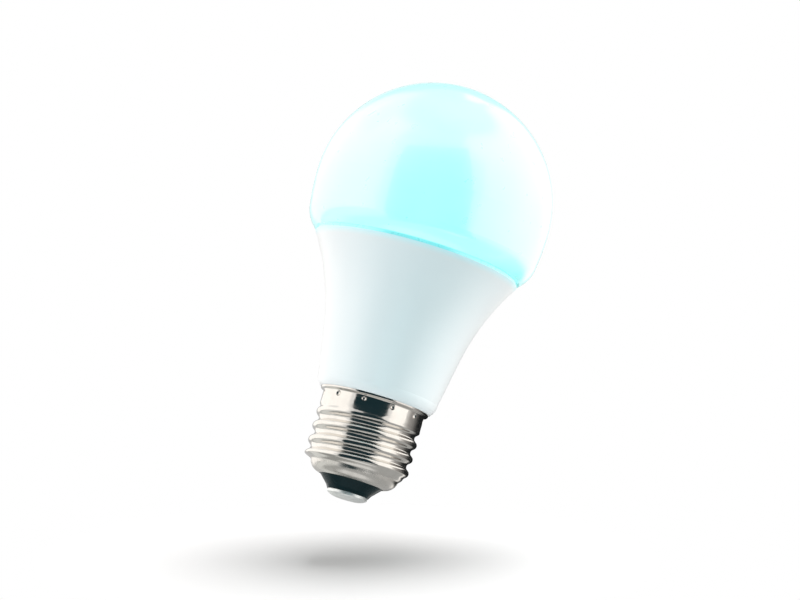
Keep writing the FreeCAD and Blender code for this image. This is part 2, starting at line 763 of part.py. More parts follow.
def screw_shell():
    """Rolled E27 shell with its crimps and its stop dent."""
    wall = d.cap_wall.number
    profile = cap_profile()
    outside = cap_skin(profile, 0)
    inside = cap_skin(profile, wall)
    rings = zip(end_circles(outside), end_circles(inside))
    edges = [Part.makeRuledSurface(outer, inner) for outer, inner in rings]
    shell = Part.Solid(Part.Shell([outside, inside] + edges))
    if shell.Volume < 0:
        shell.reverse()
    band = d.cap_band_radius.number
    punch = d.crimp_punch_radius.number
    height = d.crimp_height.number
    count = int(d.crimp_count.number)
    reach = band - d.crimp_depth.number + punch
    low = height - 2 * punch
    core = Part.makeCylinder(band - wall / 2, 4 * punch, FreeCAD.Vector(0, 0, low))
    core = core.cut(Part.makeCylinder(band - 3 * wall, 4 * punch, FreeCAD.Vector(0, 0, low)))
    balls, swellings = [], []
    for index in range(count):
        x, y = on_circle(reach, d.crimp_turn.number - 90 + 360 * index / count)
        ball, swelling = dent(FreeCAD.Vector(x, y, height), punch, core)
        balls.append(ball)
        swellings.append(swelling)
    x, y = on_circle(d.stop_dent_radius.number, d.stop_dent_turn.number)
    stop = FreeCAD.Vector(x, y, d.stop_dent_height.number)
    balls.append(Part.makeSphere(d.stop_dent_punch.number, stop))
    return solid_feature("screw_shell", shell.fuse(swellings).cut(balls))


def insulator():
    """Black insulator: boss and cone outside the cap, flange inside it."""
    return turned(
        "cap_insulator",
        [
            (d.shank_radius, d.insulator_seat),
            (d.insulator_boss_radius, d.insulator_seat),
            (d.insulator_cone_radius, d.insulator_step),
            (d.insulator_neck_radius, d.insulator_neck_foot),
            (d.insulator_neck_radius, d.insulator_flange),
            (d.insulator_flange_radius, d.insulator_flange),
            (d.insulator_flange_radius, d.insulator_top - d.insulator_bevel),
            (d.insulator_flange_radius - d.insulator_bevel, d.insulator_top),
            (d.shank_radius, d.insulator_top),
        ],
    )


def contact():
    """Centre contact: a domed head under the insulator and a hollow shank rolled over on top."""
    return turned(
        "centre_contact",
        [
            (0, 0),
            (d.contact_flat, 0, d.contact_dome, -1),
            (d.contact_radius, d.contact_edge),
            (d.contact_radius, d.insulator_seat),
            (d.shank_radius, d.insulator_seat),
            (d.shank_radius, d.insulator_top),
            (d.shank_collar, d.insulator_top),
            (d.shank_collar - d.shank_collar_bevel, d.shank_top),
            (d.shank_bore, d.shank_top),
            (d.shank_bore, d.shank_floor),
            (0, d.shank_floor),
        ],
    )


# ---------------------------------------------------------------- the cup and the light engine


def light_board_foot():
    return d.ledge_height + d.pad_thickness


def light_board_top():
    return light_board_foot() + d.light_board_thickness


def screw_angles():
    count = int(d.board_screw_count.number)
    return [d.board_screw_turn.number + 360 * index / count for index in range(count)]


def screw_holes(name, radius, foot, height):
    """The three holes for the board's screws, as rods to take away."""
    holes = []
    for index, degrees in enumerate(screw_angles()):
        x, y = on_circle(1, degrees)
        place = (d.board_screw_circle * x, d.board_screw_circle * y, foot)
        holes.append(cylinder(f"{name}_{index + 1}", place, radius, height))
    return holes


def cup():
    """Drawn aluminium cup inside the housing, with the ledge that carries the light board."""
    outside = d.housing_wall + d.cup_gap
    inside = outside + d.cup_wall
    ledge_foot = d.ledge_height - d.cup_wall
    outer_knee, outer_flare = flank_offset(outside)[1], flank_offset(outside)[3]
    inner_knee, inner_flare = flank_offset(inside)[1], flank_offset(inside)[3]
    body = turned(
        "cup_body",
        [
            (flank_at(outside, d.cup_foot), d.cup_foot),
            (outer_knee[0], outer_knee[1], outer_flare, 1),
            (flare_at(outside, ledge_foot), ledge_foot),
            (d.ledge_rim_radius, d.ledge_height),
            (d.ledge_radius, d.ledge_height),
            (d.ledge_radius, ledge_foot),
            (flare_at(inside, ledge_foot), ledge_foot, inner_flare, -1),
            (inner_knee[0], inner_knee[1]),
            (flank_at(inside, d.cup_foot), d.cup_foot),
        ],
    )
    through = d.cup_wall + 2 * PAST
    holes = screw_holes("ledge_hole", d.screw_tap_radius, ledge_foot - PAST, through)
    return cut("heat_sink_cup", body, holes)


def pad():
    """Thermal pad between the ledge and the light board."""
    ring = turned(
        "pad_ring",
        [
            (d.ledge_radius, d.ledge_height),
            (d.pad_radius, d.ledge_height),
            (d.pad_radius, light_board_foot()),
            (d.ledge_radius, light_board_foot()),
        ],
    )
    through = d.pad_thickness + 2 * PAST
    holes = screw_holes("pad_hole", d.screw_hole_radius, d.ledge_height - PAST, through)
    return cut("thermal_pad", ring, holes)


def light_board():
    """Round aluminium-core board with its screw holes and the slots for radio board and pins."""
    foot = light_board_foot()
    disc = cylinder("light_disc", (0, 0, foot), d.light_board_radius, d.light_board_thickness)
    low = foot - PAST
    through = d.light_board_thickness + 2 * PAST
    slot_half_width = d.radio_board_half_width + d.radio_slot_side_gap
    radio_slot = box(
        "radio_slot",
        (-slot_half_width, d.radio_board_front - d.radio_slot_gap, low),
        (slot_half_width * 2, d.radio_board_thickness + d.radio_slot_gap * 2, through),
    )
    pin_slot = box(
        "pin_slot",
        (-d.pin_slot_width / 2, -d.pin_row - d.pin_slot_depth / 2, low),
        (d.pin_slot_width, d.pin_slot_depth, through),
    )
    holes = screw_holes("light_hole", d.screw_hole_radius, low, through)
    return cut("led_board", disc, [radio_slot, pin_slot, *holes])


def ring_of_blocks(label, count, radius, size, first):
    """Identical blocks around the axis, each turned to face it."""
    blocks = []
    count = int(count.number)
    for index in range(count):
        degrees = first.number + 360 * index / count
        block = doc.addObject("Part::Box", f"{label}_{index + 1}")
        bind(block, Length=size[0], Width=size[1], Height=size[2])
        x, y = on_circle(1, degrees)
        near = radius - size[0] / 2
        half = size[1] / 2
        turn = FreeCAD.Rotation(FreeCAD.Vector(0, 0, 1), degrees)
        block.Placement = FreeCAD.Placement(FreeCAD.Vector(), turn)
        bind(block, Place=(near * x + half * y, near * y - half * x, light_board_top()))
        blocks.append(block)
    return group(label, blocks)


def diodes():
    """White diodes in the outer ring, coloured ones in the inner ring."""
    white = (d.white_depth, d.white_width, d.white_height)
    colour = (d.colour_side, d.colour_side, d.colour_height)
    ring_of_blocks("white_leds", d.white_count, d.white_circle, white, as_size(0))
    ring_of_blocks("colour_leds", d.colour_count, d.colour_circle, colour, d.colour_turn)


def board_screws():
    """Pan-head screws, each turned as one piece."""
    screws = []
    top = light_board_top()
    for index, degrees in enumerate(screw_angles()):
        x, y = on_circle(1, degrees)
        place = (d.board_screw_circle * x, d.board_screw_circle * y)
        head = cylinder(
            f"screw_head_{index + 1}", (*place, top), d.screw_head_radius, d.screw_head_height
        )
        slot = box(
            f"screw_slot_{index + 1}",
            (
                place[0] - d.screw_head_radius - PAST,
                place[1] - d.screw_slot / 2,
                top + d.screw_head_height - d.screw_slot,
            ),
            ((d.screw_head_radius + PAST) * 2, d.screw_slot, d.screw_slot + PAST),
        )
        stem = cylinder(
            f"screw_stem_{index + 1}",
            (*place, top - d.screw_length),
            d.screw_thread_radius,
            d.screw_length,
        )
        slotted = cut(f"screw_slotted_{index + 1}", head, [slot])
        screws.append(joined(f"board_screw_{index + 1}", [slotted, stem]))
    return group("board_screws", screws)


PIN_COUNT = 5


def pin_row(label, side, foot, height):
    """A row of square pins or of the holes for them."""
    pins = []
    for index in range(PIN_COUNT):
        centre = d.pin_step * (index - (PIN_COUNT - 1) / 2)
        low = (centre - side / 2, -d.pin_row - side / 2, foot)
        pins.append(box(f"{label}_{index + 1}", low, (side, side, height)))
    return pins


def board_connector():
    """Pin strip on the driver board, its pins, and the socket on the light board."""
    strip_foot = d.driver_top - d.strip_drop
    strip = box(
        "strip_block",
        (-d.strip_width / 2, -d.pin_row - d.strip_depth / 2, strip_foot),
        (d.strip_width, d.strip_depth, d.strip_depth),
    )
    channel_height = d.strip_depth + 2 * PAST
    channels = pin_row("strip_channel", d.pin_side, strip_foot - PAST, channel_height)
    cut("pin_strip", strip, channels)
    pin_foot = strip_foot - d.pin_tail
    pin_top = light_board_top() + d.socket_height
    group("strip_pins", pin_row("strip_pin", d.pin_side, pin_foot, pin_top - pin_foot))
    socket = box(
        "socket_block",
        (-d.socket_width / 2, -d.pin_row - d.socket_depth / 2, light_board_top()),
        (d.socket_width, d.socket_depth, d.socket_height),
    )
    opening_foot = light_board_top() - PAST
    opening_height = d.socket_height + 2 * PAST
    openings = pin_row("socket_opening", d.pin_side + d.pin_play, opening_foot, opening_height)
    cut("board_socket", socket, openings)


# ---------------------------------------------------------------- the driver


def driver_front():
    return -d.driver_thickness / 2


def driver_back():
    return d.driver_thickness / 2


def driver_board():
    """Upright board: wide in the housing, narrow in the neck."""
    upper = box(
        "driver_upper",
        (-d.driver_half_width, driver_front(), d.driver_shoulder),
        (d.driver_half_width * 2, d.driver_thickness, d.driver_top - d.driver_shoulder),
    )
    lower = box(
        "driver_lower",
        (-d.driver_neck_half_width, driver_front(), d.driver_foot),
        (d.driver_neck_half_width * 2, d.driver_thickness, d.driver_shoulder - d.driver_foot),
    )
    joined("driver_board", [upper, lower])


def film_sleeve():
    """Insulating film rolled around the driver, inside the cup."""
    turned(
        "insulation_sleeve",
        [
            (d.sleeve_radius - d.sleeve_wall, d.sleeve_foot),
            (d.sleeve_radius, d.sleeve_foot),
            (d.sleeve_radius, d.driver_top),
            (d.sleeve_radius - d.sleeve_wall, d.driver_top),
        ],
    )


def can_capacitor(node):
    """Electrolytic capacitor upright in front of the board, with its two leads bent to it."""
    across, foot, radius, height, gap = sizes_of(node, CAN_SIZES)
    face = driver_front()
    centre = face - gap - radius
    top = foot + height
    crown_foot = top - d.capacitor_crown
    waist_foot = crown_foot - d.capacitor_groove
    waist_radius = radius - d.capacitor_groove_depth
    parts = [
        cylinder(f"{node}_can", (across, centre, foot), radius, waist_foot - foot),
        cylinder(f"{node}_waist", (across, centre, waist_foot), waist_radius, d.capacitor_groove),
        cylinder(f"{node}_crown", (across, centre, crown_foot), radius, d.capacitor_crown),
    ]
    for side in (-1, 1):
        lead_across = across + radius * d.capacitor_lead_spread * side
        bend = top + d.capacitor_lead_rise
        points = [(lead_across, centre, top), (lead_across, centre, bend), (lead_across, face, bend)]
        parts.append(bent_lead(f"{node}_lead_{side + 2}", points, d.capacitor_lead_radius))
    joined(node, parts)


def drum_choke():
    """Input choke: a ferrite drum and the copper wound on its waist."""
    foot = d.choke_foot
    window_foot = foot + d.choke_flange
    window_top = window_foot + d.choke_window

    def layer(name, height_foot, radius, height):
        return cylinder(name, (d.choke_across, -d.choke_ahead, height_foot), radius, height)

    drum = [
        layer("choke_foot_flange", foot, d.choke_radius, d.choke_flange),
        layer("choke_drum_waist", window_foot, d.choke_waist, d.choke_window),
        layer("choke_head_flange", window_top, d.choke_radius, d.choke_flange),
    ]
    joined("choke_core", drum)
    copper = layer("choke_copper_block", window_foot, d.choke_copper, d.choke_window)
    bore = layer("choke_copper_bore", window_foot, d.choke_waist, d.choke_window)
    cut("choke_winding", copper, [bore])


def centred_box(name, half_width, half_depth, foot, height):
    """A block about the transformer's upright centre line."""
    low = (-d.core_across - half_width, -d.core_ahead - half_depth, foot)
    return box(name, low, (half_width * 2, half_depth * 2, height))


def transformer():
    """Power transformer: ferrite core with two windows, moulded bobbin and winding."""
    leg_half = d.core_leg / 2
    core_half_depth = d.core_depth / 2
    window_height = d.core_height - d.core_yoke * 2
    block = centred_box("ferrite_block", d.core_width / 2, core_half_depth, d.core_foot, d.core_height)
    windows = []
    for name, low_x in (("left", -leg_half - d.core_window), ("right", leg_half)):
        low = (low_x - d.core_across, -d.core_ahead - d.core_depth, d.core_foot + d.core_yoke)
        size = (d.core_window, d.core_depth * 2, window_height)
        windows.append(box(f"ferrite_window_{name}", low, size))
    cut("transformer_core", block, windows)

    gap = 0.1
    tube_foot = d.core_foot + d.core_yoke + gap
    tube_height = window_height - gap * 2
    tube_half_width = leg_half + d.bobbin_wall
    tube_half_depth = core_half_depth + d.bobbin_wall
    flange_half = (d.bobbin_half_width, d.bobbin_half_depth)
    upper_foot = tube_foot + tube_height - d.bobbin_flange
    plain = joined(
        "bobbin_plain",
        [
            centred_box("bobbin_tube", tube_half_width, tube_half_depth, tube_foot, tube_height),
            centred_box("bobbin_lower", *flange_half, tube_foot, d.bobbin_flange),
            centred_box("bobbin_upper", *flange_half, upper_foot, d.bobbin_flange),
        ],
    )
    leg = centred_box("bobbin_leg", leg_half, core_half_depth, d.core_foot, d.core_height)
    cut("transformer_bobbin", plain, [leg])
    winding_half = [half - d.winding_margin for half in flange_half]
    winding_foot = tube_foot + d.bobbin_flange
    winding_height = tube_height - d.bobbin_flange * 2
    copper = centred_box("winding_block", *winding_half, winding_foot, winding_height)
    inside = centred_box("winding_inside", tube_half_width, tube_half_depth, tube_foot, tube_height)
    cut("transformer_winding", copper, [inside])


def varistor():
    """Surge varistor: a coated disc across the mains, on two short leads."""
    face = driver_back()
    disc_front = face + d.varistor_stand_off
    middle = d.varistor_height
    parts = [
        rod_along(
            "varistor_disc", (0, disc_front, middle), d.varistor_radius, d.varistor_thickness, "Y"
        )
    ]
    for side in (-1, 1):
        place = (
            d.varistor_radius * d.varistor_lead_spread * side,
            face,
            middle - d.varistor_radius * d.varistor_lead_drop,
        )
        reach = d.varistor_stand_off + d.varistor_lead_end
        parts.append(rod_along(f"varistor_lead_{side + 2}", place, d.lead_radius, reach, "Y"))
    joined("surge_varistor", parts)


def fuse_resistor():
    """Fusible resistor in the live lead, inside its shrunk sleeve."""
    foot = d.resistor_foot
    sleeve_foot = foot - d.resistor_sleeve_end
    sleeve_length = d.resistor_length + d.resistor_sleeve_end * 2
    outside = d.resistor_radius + d.resistor_sleeve_wall
    behind = d.resistor_behind
    cylinder("fusible_resistor", (0, behind, foot), d.resistor_radius, d.resistor_length)
    tube = cylinder("sleeve_outside", (0, behind, sleeve_foot), outside, sleeve_length)
    bore = cylinder("sleeve_bore", (0, behind, sleeve_foot), d.resistor_radius, sleeve_length)
    cut("resistor_sleeve", tube, [bore])


def leads():
    """Live lead from the contact through the resistor, and neutral lead to the screw shell."""
    behind = d.resistor_behind
    resistor_top = d.resistor_foot + d.resistor_length
    turn_height = d.resistor_foot - d.live_turn_drop
    up_to_board = resistor_top + d.live_turn_rise
    face = driver_back()
    lower_points = [
        (0, 0, d.shank_floor + d.live_end),
        (0, 0, turn_height),
        (0, behind, turn_height),
        (0, behind, d.resistor_foot),
    ]
    upper_points = [(0, behind, resistor_top), (0, behind, up_to_board), (0, face, up_to_board)]
    lower = bent_lead("live_lower", lower_points, d.lead_radius)
    upper = bent_lead("live_upper", upper_points, d.lead_radius)
    group("live_lead", [lower, upper])

    groove = -(d.neck_radius - d.wire_groove_depth / 2)
    solder_height = d.driver_foot + d.neutral_solder_rise
    solder_across = -d.driver_neck_half_width + d.neutral_solder_inset
    below_neck = d.neck_foot - d.neutral_turn_drop
    clear = face + d.neutral_stand_off
    neutral_points = [
        (solder_across, face, solder_height),
        (solder_across, clear, solder_height),
        (solder_across, clear, below_neck),
        (groove, 0, below_neck),
        (groove, 0, d.wire_groove_top - d.neutral_end),
    ]
    bent_lead("neutral_lead", neutral_points, d.neutral_lead_radius)


def soldered_parts():
    """Blocks soldered flat on the two faces of the driver board."""
    for node in BACK_PARTS:
        left, foot, width, depth, height = sizes_of(node, PART_SIZES)
        box(node, (left, driver_back(), foot), (width, depth, height))
    for node in FRONT_PARTS:
        left, foot, width, depth, height = sizes_of(node, PART_SIZES)
        box(node, (left, driver_front() - depth, foot), (width, depth, height))


def chip_columns(label, columns, count, step, depth, front):
    """Columns of identical chips, flat on one face of the driver board."""
    chips = []
    low_y = driver_front() - depth if front else driver_back()
    for column in columns:
        across, first = sizes_of(column, COLUMN_SIZES)
        for index in range(count):
            middle = first + step * index
            low = (across - d.chip_length / 2, low_y, middle - d.chip_width / 2)
            size = (d.chip_length, depth, d.chip_width)
            chips.append(box(f"{column}_{index + 1}", low, size))
    group(label, chips)


def driver_parts():
    for node in CANS:
        can_capacitor(node)
    drum_choke()
    transformer()
    varistor()
    fuse_resistor()
    soldered_parts()
    chip_columns(
        "chip_resistors", RESISTOR_COLUMNS, 3, d.chip_resistor_step, d.chip_resistor_depth, False
    )
    chip_columns(
        "chip_capacitors", CAPACITOR_COLUMNS, 2, d.chip_capacitor_step, d.chip_capacitor_depth, True
    )


# ---------------------------------------------------------------- the radio

RADIO_PIN_COUNT = 5
ANTENNA_RUNS = 5


def radio_board_back():
    return d.radio_board_front + d.radio_board_thickness


def antenna():
    """Printed antenna: level runs joined at alternate ends."""
    left = -d.antenna_width / 2
    right = d.antenna_width / 2 - d.antenna_track
    runs = []
    for index in range(ANTENNA_RUNS):
        foot = light_board_top() + d.antenna_clear + d.antenna_step * index
        run = (d.antenna_width, d.antenna_copper, d.antenna_track)
        runs.append(box(f"antenna_run_{index + 1}", (left, radio_board_back(), foot), run))
        if index:
            across = left if index % 2 else right
            turn = (d.antenna_track, d.antenna_copper, d.antenna_step + d.antenna_track)
            low = (across, radio_board_back(), foot - d.antenna_step)
            runs.append(box(f"antenna_turn_{index}", low, turn))
    joined("radio_antenna", runs)


def radio():
    """Radio board that stands through the light board, with its chip, shield and pins."""
    half = d.radio_board_half_width
    front = d.radio_board_front
    back = radio_board_back()
    foot = d.radio_board_foot
    height = d.radio_board_top - foot
    box("radio_board", (-half, front, foot), (half * 2, d.radio_board_thickness, height))
    can = box(
        "shield_block",
        (-d.shield_half_width, back, d.shield_foot),
        (d.shield_half_width * 2, d.shield_depth, d.shield_height),
    )
    room = box(
        "shield_room",
        (-d.shield_half_width + d.shield_wall, back - PAST, d.shield_foot + d.shield_wall),
        (
            (d.shield_half_width - d.shield_wall) * 2,
            d.shield_depth + PAST - d.shield_wall,
            d.shield_height - d.shield_wall * 2,
        ),
    )
    cut("radio_shield", can, [room])
    box(
        "radio_chip",
        (-d.radio_chip_side / 2, back, d.shield_foot + d.radio_chip_rise),
        (d.radio_chip_side, d.radio_chip_depth, d.radio_chip_side),
    )
    pins = []
    for index in range(RADIO_PIN_COUNT):
        across = d.pin_step * (index - (RADIO_PIN_COUNT - 1) / 2) - d.radio_pin_side / 2
        size = (d.radio_pin_side, front - driver_back(), d.radio_pin_side)
        low = (across, driver_back(), foot + d.radio_pin_rise)
        pins.append(box(f"radio_pin_{index + 1}", low, size))
    group("radio_pins", pins)
    antenna()


# ---------------------------------------------------------------- build and write


def build():
    housing()
    diffuser()
    seal()
    screw_shell()
    insulator()
    contact()
    cup()
    pad()
    light_board()
    diodes()
    board_screws()
    board_connector()
    driver_board()
    film_sleeve()
    driver_parts()
    leads()
    radio()


NODES = [
    "diffuser_dome",
    "dome_seal",
    "housing_shell",
    "heat_sink_cup",
    "thermal_pad",
    "led_board",
    "white_leds",
    "colour_leds",
    "board_screws",
    "board_socket",
    "pin_strip",
    "strip_pins",
    "driver_board",
    "insulation_sleeve",
    "input_capacitor",
    "output_capacitor",
    "film_capacitor",
    "surge_varistor",
    "bridge_rectifier",
    "flyback_diode",
    "transformer_core",
    "transformer_bobbin",
    "transformer_winding",
    "choke_core",
    "choke_winding",
    "driver_chip",
    "colour_chip",
    "regulator_chip",
    "chip_resistors",
    "chip_capacitors",
    "radio_board",
    "radio_shield",
    "radio_chip",
    "radio_pins",
    "radio_antenna",
    "fusible_resistor",
    "resistor_sleeve",
    "live_lead",
    "neutral_lead",
    "screw_shell",
    "cap_insulator",
    "centre_contact",
]


def check_and_write():
    doc.recompute()
    for thing in doc.Objects:
        if "Invalid" in thing.State or "Error" in thing.State:
            raise SystemExit(f"{thing.Label} failed: {thing.State}")
    shapes = {}
    for node in NODES:
        thing = doc.getObjectsByLabel(node)[0]
        shape = thing.Shape
        if shape.isNull() or not shape.isValid() or not shape.Solids:
            raise SystemExit(f"{node} has no valid solid")
        shapes[node] = shape
    os.makedirs("parts", exist_ok=True)
    for node, shape in shapes.items():
        shape.exportStep(f"parts/{node}.step")
        print(f"{node}: {len(shape.Solids)} solids, {shape.Volume:.1f} mm3")


build()
check_and_write()
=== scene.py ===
"""Looks for the smart light bulb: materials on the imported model, studio, floor and camera."""

import math

import bpy
from mathutils import Matrix, Vector

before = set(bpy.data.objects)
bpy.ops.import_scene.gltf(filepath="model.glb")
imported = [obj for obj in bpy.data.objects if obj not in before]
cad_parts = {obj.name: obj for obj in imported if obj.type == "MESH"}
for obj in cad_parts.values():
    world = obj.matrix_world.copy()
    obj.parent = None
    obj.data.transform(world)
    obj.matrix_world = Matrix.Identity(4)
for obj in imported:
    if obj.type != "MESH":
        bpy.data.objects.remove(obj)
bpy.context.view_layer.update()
MM = 0.001

# ---------------------------------------------------------------- node helpers


def clear_tree(owner):
    """The emptied node tree of a material or world."""
    owner.use_nodes = True
    owner.node_tree.nodes.clear()
    return owner.node_tree


def rgba(colour):
    """A colour with full alpha."""
    return (*colour, 1.0)


def feed(tree, value, socket):
    """Put a number, a colour or another node's output into an input."""
    if isinstance(value, bpy.types.NodeSocket):
        tree.links.new(value, socket)
    elif isinstance(value, tuple):
        socket.default_value = rgba(value)
    else:
        socket.default_value = value


def calc(tree, operation, *operands):
    """The output of a Math node."""
    node = tree.nodes.new("ShaderNodeMath")
    node.operation = operation
    for socket, operand in zip(node.inputs, operands):
        feed(tree, operand, socket)
    return node.outputs[0]


def product(tree, *shares):
    """All the shares multiplied."""
    result = shares[0]
    for share in shares[1:]:
        result = calc(tree, "MULTIPLY", result, share)
    return result


def mix(tree, share, first, second):
    """A colour that goes from the first to the second as share rises from 0 to 1."""
    node = tree.nodes.new("ShaderNodeMix")
    node.data_type = "RGBA"
    feed(tree, share, node.inputs[0])
    feed(tree, first, node.inputs[6])
    feed(tree, second, node.inputs[7])
    return node.outputs[2]


def step(tree, value, low, high):
    """0 below low and 1 above high, smooth between; the other way round when high is the lower."""
    node = tree.nodes.new("ShaderNodeMapRange")
    node.interpolation_type = "SMOOTHSTEP"
    feed(tree, value, node.inputs["Value"])
    feed(tree, float(low), node.inputs["From Min"])
    feed(tree, float(high), node.inputs["From Max"])
    return node.outputs["Result"]


def band(tree, value, low, high, soft):
    """1 between low and high, with edges soft to each side."""
    rise = step(tree, value, low - soft, low + soft)
    fall = step(tree, value, high + soft, high - soft)
    return calc(tree, "MULTIPLY", rise, fall)


def ramp(tree, value, stops):
    """A colour ramp. Each stop is (position, colour)."""
    node = tree.nodes.new("ShaderNodeValToRGB")
    points = node.color_ramp.elements
    while len(points) < len(stops):
        points.new(0.5)
    for point, (position, colour) in zip(points, stops):
        point.position = position
        point.color = rgba(colour)
    feed(tree, value, node.inputs["Fac"])
    return node.outputs["Color"]


def place(tree):
    """The row frame's coordinates in metres, as a vector."""
    return tree.nodes.new("ShaderNodeTexCoord").outputs["Object"]


def axes(tree):
    """The row frame's X, Y and Z in millimetres."""
    split = tree.nodes.new("ShaderNodeSeparateXYZ")
    tree.links.new(place(tree), split.inputs[0])
    return [calc(tree, "DIVIDE", output, MM) for output in split.outputs]


def from_axis(tree, x, y):
    """The distance from an axis, from the distances along two directions across it."""
    squares = [calc(tree, "POWER", side, 2) for side in (x, y)]
    return calc(tree, "SQRT", calc(tree, "ADD", *squares))


def turn_of(tree, x, y):
    """The angle round the bulb's axis in degrees, 0 in front and positive to the right."""
    return calc(tree, "DEGREES", calc(tree, "ARCTAN2", x, calc(tree, "MULTIPLY", y, -1.0)))


def noise(tree, grain_mm, detail=3.0, stretch=(1.0, 1.0, 1.0)):
    """A noise pattern with grains about grain_mm wide, or wider along an axis stretched below 1."""
    scaled = tree.nodes.new("ShaderNodeMapping")
    scaled.inputs["Scale"].default_value = stretch
    tree.links.new(place(tree), scaled.inputs["Vector"])
    node = tree.nodes.new("ShaderNodeTexNoise")
    node.inputs["Scale"].default_value = 1.0 / (grain_mm * MM)
    node.inputs["Detail"].default_value = detail
    tree.links.new(scaled.outputs["Vector"], node.inputs["Vector"])
    return node.outputs["Fac"]


NOISE_LOW, NOISE_HIGH = 0.3, 0.7


def spread(tree, pattern, low, high):
    """A noise pattern brought to the range from low to high."""
    node = tree.nodes.new("ShaderNodeMapRange")
    feed(tree, pattern, node.inputs["Value"])
    node.inputs["From Min"].default_value = NOISE_LOW
    node.inputs["From Max"].default_value = NOISE_HIGH
    node.inputs["To Min"].default_value = low
    node.inputs["To Max"].default_value = high
    return node.outputs["Result"]


def blend_out(tree, share, first, second, output):
    """Put out the first shader where share is 0 and the second where it is 1."""
    blend = tree.nodes.new("ShaderNodeMixShader")
    feed(tree, share, blend.inputs[0])
    tree.links.new(first.outputs[0], blend.inputs[1])
    tree.links.new(second.outputs[0], blend.inputs[2])
    out = tree.nodes.new(output)
    tree.links.new(blend.outputs[0], out.inputs["Surface"])


def add_object(name, data):
    """A new object in the scene."""
    item = bpy.data.objects.new(name, data)
    bpy.context.scene.collection.objects.link(item)
    return item


class Finish:
    """A material around one Principled shader."""

    def __init__(self, name, colour, rough, **sockets):
        self.material = bpy.data.materials.new(name)
        self.tree = clear_tree(self.material)
        self.shader = self.tree.nodes.new("ShaderNodeBsdfPrincipled")
        out = self.tree.nodes.new("ShaderNodeOutputMaterial")
        self.tree.links.new(self.shader.outputs["BSDF"], out.inputs["Surface"])
        self.set("Base Color", colour)
        self.set("Roughness", rough)
        for key, value in sockets.items():
            self.set(key.replace("_", " "), value)

    def set(self, socket, value):
        """Set a socket of the shader, or feed it from a node."""
        feed(self.tree, value, self.shader.inputs[socket])

    def bump(self, height, depth_mm):
        """Relief that is depth_mm deep."""
        node = self.tree.nodes.new("ShaderNodeBump")
        node.inputs["Distance"].default_value = depth_mm * MM
        feed(self.tree, height, node.inputs["Height"])
        feed(self.tree, node.outputs["Normal"], self.shader.inputs["Normal"])

    def rough(self, low, high, grain_mm, stretch=(1.0, 1.0, 1.0)):
        """Roughness that wanders between low and high."""
        pattern = noise(self.tree, grain_mm, 4.0, stretch)
        self.set("Roughness", spread(self.tree, pattern, low, high))

    def mottle(self, first, second, grain_mm):
        """A colour that wanders between two close ones."""
        pattern = noise(self.tree, grain_mm)
        self.set("Base Color", mix(self.tree, spread(self.tree, pattern, 0.0, 1.0), first, second))


# ---------------------------------------------------------------- outside

# heights in millimetres
DOME_FOOT, DOME_TOP = 63.2, 107.4
RIM, RIM_GLOW = 62.3, 1.8
BOWL_TOP, BOWL_FADE = 9.0, 2.0
THREAD_FOOT, THREAD_TOP = 9.0, 22.0

HOUSING_WHITE = (0.87, 0.89, 0.90)
# cyan tint that paints the dome's light onto the housing's rim
HOUSING_RIM_PAINTED_GLOW = (0.74, 0.89, 0.91)
UNLIT = (0.0, 0.0, 0.0)


def milky_dome():
    """Glossy milky plastic. The board's light through its wall is painted: a cyan emission that
    changes with height, over a base colour tinted cyan.
    """
    finish = Finish(
        "milky_dome",
        (0.45, 0.75, 0.75),
        0.3,
        IOR=2.0,
        Specular_IOR_Level=0.8,
        Coat_Weight=1.0,
        Coat_Roughness=0.04,
        Coat_IOR=1.8,
        Sheen_Weight=0.5,
        Sheen_Roughness=0.35,
    )
    tree = finish.tree
    height = axes(tree)[2]
    share = calc(tree, "DIVIDE", calc(tree, "SUBTRACT", height, DOME_FOOT), DOME_TOP - DOME_FOOT)
    # painted glow: emission colour by height, fading towards the top, standing in for the light
    # board's light at the foot
    glow = ramp(
        tree,
        share,
        [
            (0.0, (0.155, 0.70, 0.68)),
            (0.38, (0.21, 0.66, 0.65)),
            (0.55, (0.225, 0.64, 0.64)),
            (0.75, (0.18, 0.62, 0.62)),
            (1.0, (0.10, 0.60, 0.60)),
        ],
    )
    # painted glow made patchy: its strength wanders by a few percent
    patchy_glow = spread(tree, noise(tree, 14.0, 2.0), 0.95, 1.05)
    finish.set("Emission Color", glow)
    finish.set("Emission Strength", patchy_glow)
    finish.rough(0.27, 0.33, 3.0)
    return finish.material


def glowing_seal():
    """Clear silicone with the dome's light round the seam painted on: a cyan base colour and a
    patchy cyan emission.
    """
    finish = Finish(
        "glowing_seal",
        (0.28, 0.55, 0.56),
        0.3,
        IOR=1.8,
        Coat_Weight=1.0,
        Coat_Roughness=0.12,
        Coat_IOR=1.85,
        Emission_Strength=1.0,
    )
    # painted glow: patchy cyan emission standing in for the dome's light carried round the seam
    patchy_glow = noise(finish.tree, 6.0, 2.0)
    finish.set("Emission Color", mix(finish.tree, patchy_glow, (0.08, 0.39, 0.41), (0.11, 0.47, 0.49)))
    finish.rough(0.24, 0.36, 1.2)
    finish.bump(noise(finish.tree, 0.6), 0.004)
    return finish.material


def white_housing():
    """Satin moulded plastic. The dome's light on its rim is painted: a cyan tint and a faint cyan
    glow just below the seam.
    """
    finish = Finish("white_housing", HOUSING_WHITE, 0.34, Emission_Strength=1.0)
    tree = finish.tree
    # painted glow: towards the seam the base colour turns cyan and a faint cyan emission is added,
    # standing in for the dome's light on the rim
    rim = step(tree, axes(tree)[2], RIM - RIM_GLOW, RIM)
    rim = calc(tree, "POWER", rim, 1.5)
    finish.set("Base Color", mix(tree, rim, HOUSING_WHITE, HOUSING_RIM_PAINTED_GLOW))
    finish.set("Emission Color", mix(tree, rim, UNLIT, (0.0, 0.08, 0.09)))
    finish.rough(0.31, 0.37, 2.0)
    finish.bump(noise(tree, 0.25, 2.0), 0.0012)
    return finish.material


